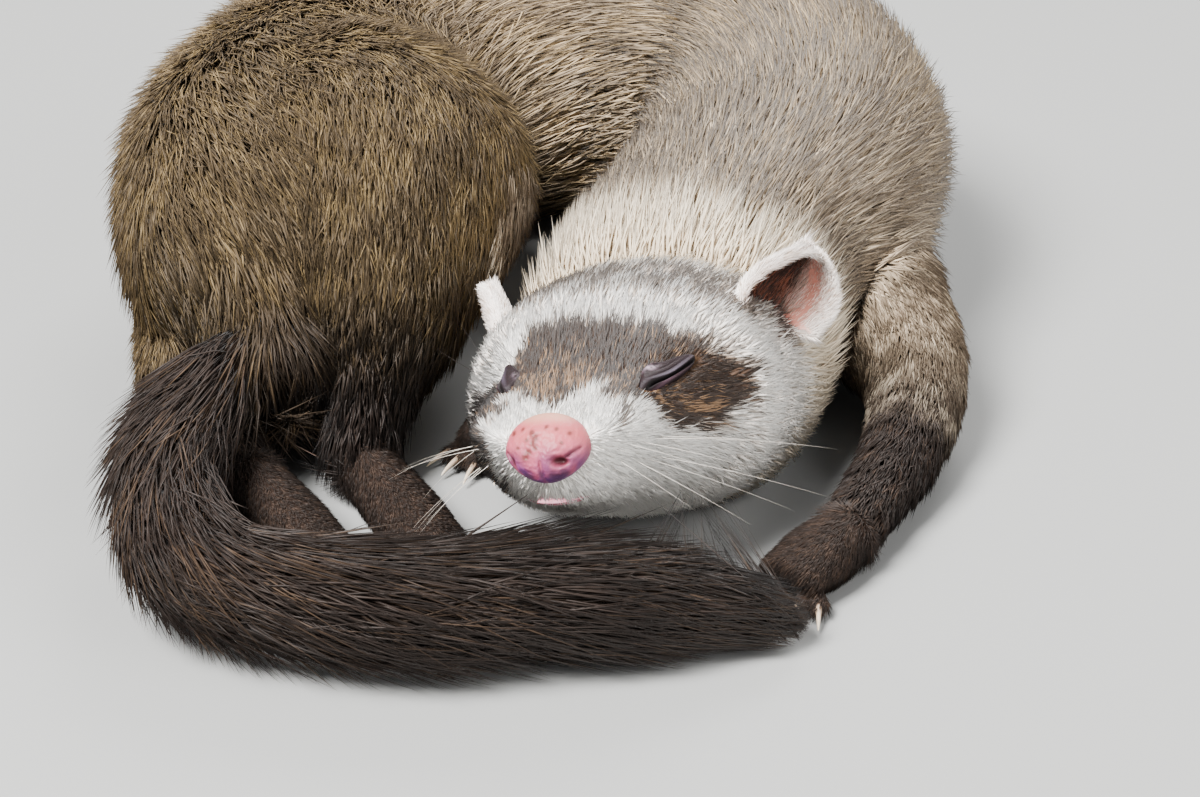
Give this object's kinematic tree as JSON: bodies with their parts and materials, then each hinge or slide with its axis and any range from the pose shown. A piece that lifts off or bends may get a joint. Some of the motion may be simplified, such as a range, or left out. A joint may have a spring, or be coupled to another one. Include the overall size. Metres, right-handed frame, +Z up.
{
  "type": "sleeping ferret model",
  "caption": "Life-size still model of a ferret curled up asleep in a ring, chin on its tail, with a dark mask on a pale face and a sable coat.",
  "frame": {"origin": "on the floor, under the middle of the whole model's outline", "axes": "+Z up, the face looks along -Y, +X to the animal's left"},
  "size_m": [0.1538, 0.223, 0.0608],
  "materials": {
    "pale_coat": "soft cream-white fur",
    "body_coat": "taupe-brown guard hair over cream underfur",
    "dark_coat": "dark brown fur",
    "nose_skin": "moist pink skin with a fine grain",
    "ear_skin": "thin pink skin with short white hair at the rim",
    "lid_skin": "dark skin of the closed lids"
  },
  "bodies": {
    "root": {"head": "pale_coat", "lower_jaw": "pale_coat", "nose": "nose_skin", "eye_left": "lid_skin", "eye_right": "lid_skin", "ear_left": "ear_skin", "ear_right": "ear_skin", "neck": "body_coat", "shoulders": "body_coat", "ribcage": "body_coat", "loin": "body_coat", "hips": "body_coat", "rump": "dark_coat", "foreleg_left": "dark_coat", "foreleg_right": "dark_coat", "forepaw_left": "dark_coat", "forepaw_right": "dark_coat", "hindleg_left": "dark_coat", "hindleg_right": "dark_coat", "hindpaw_left": "dark_coat", "hindpaw_right": "dark_coat", "tail_base": "dark_coat", "tail_middle": "dark_coat", "tail_tip": "dark_coat"}
  },
  "joints": []
}
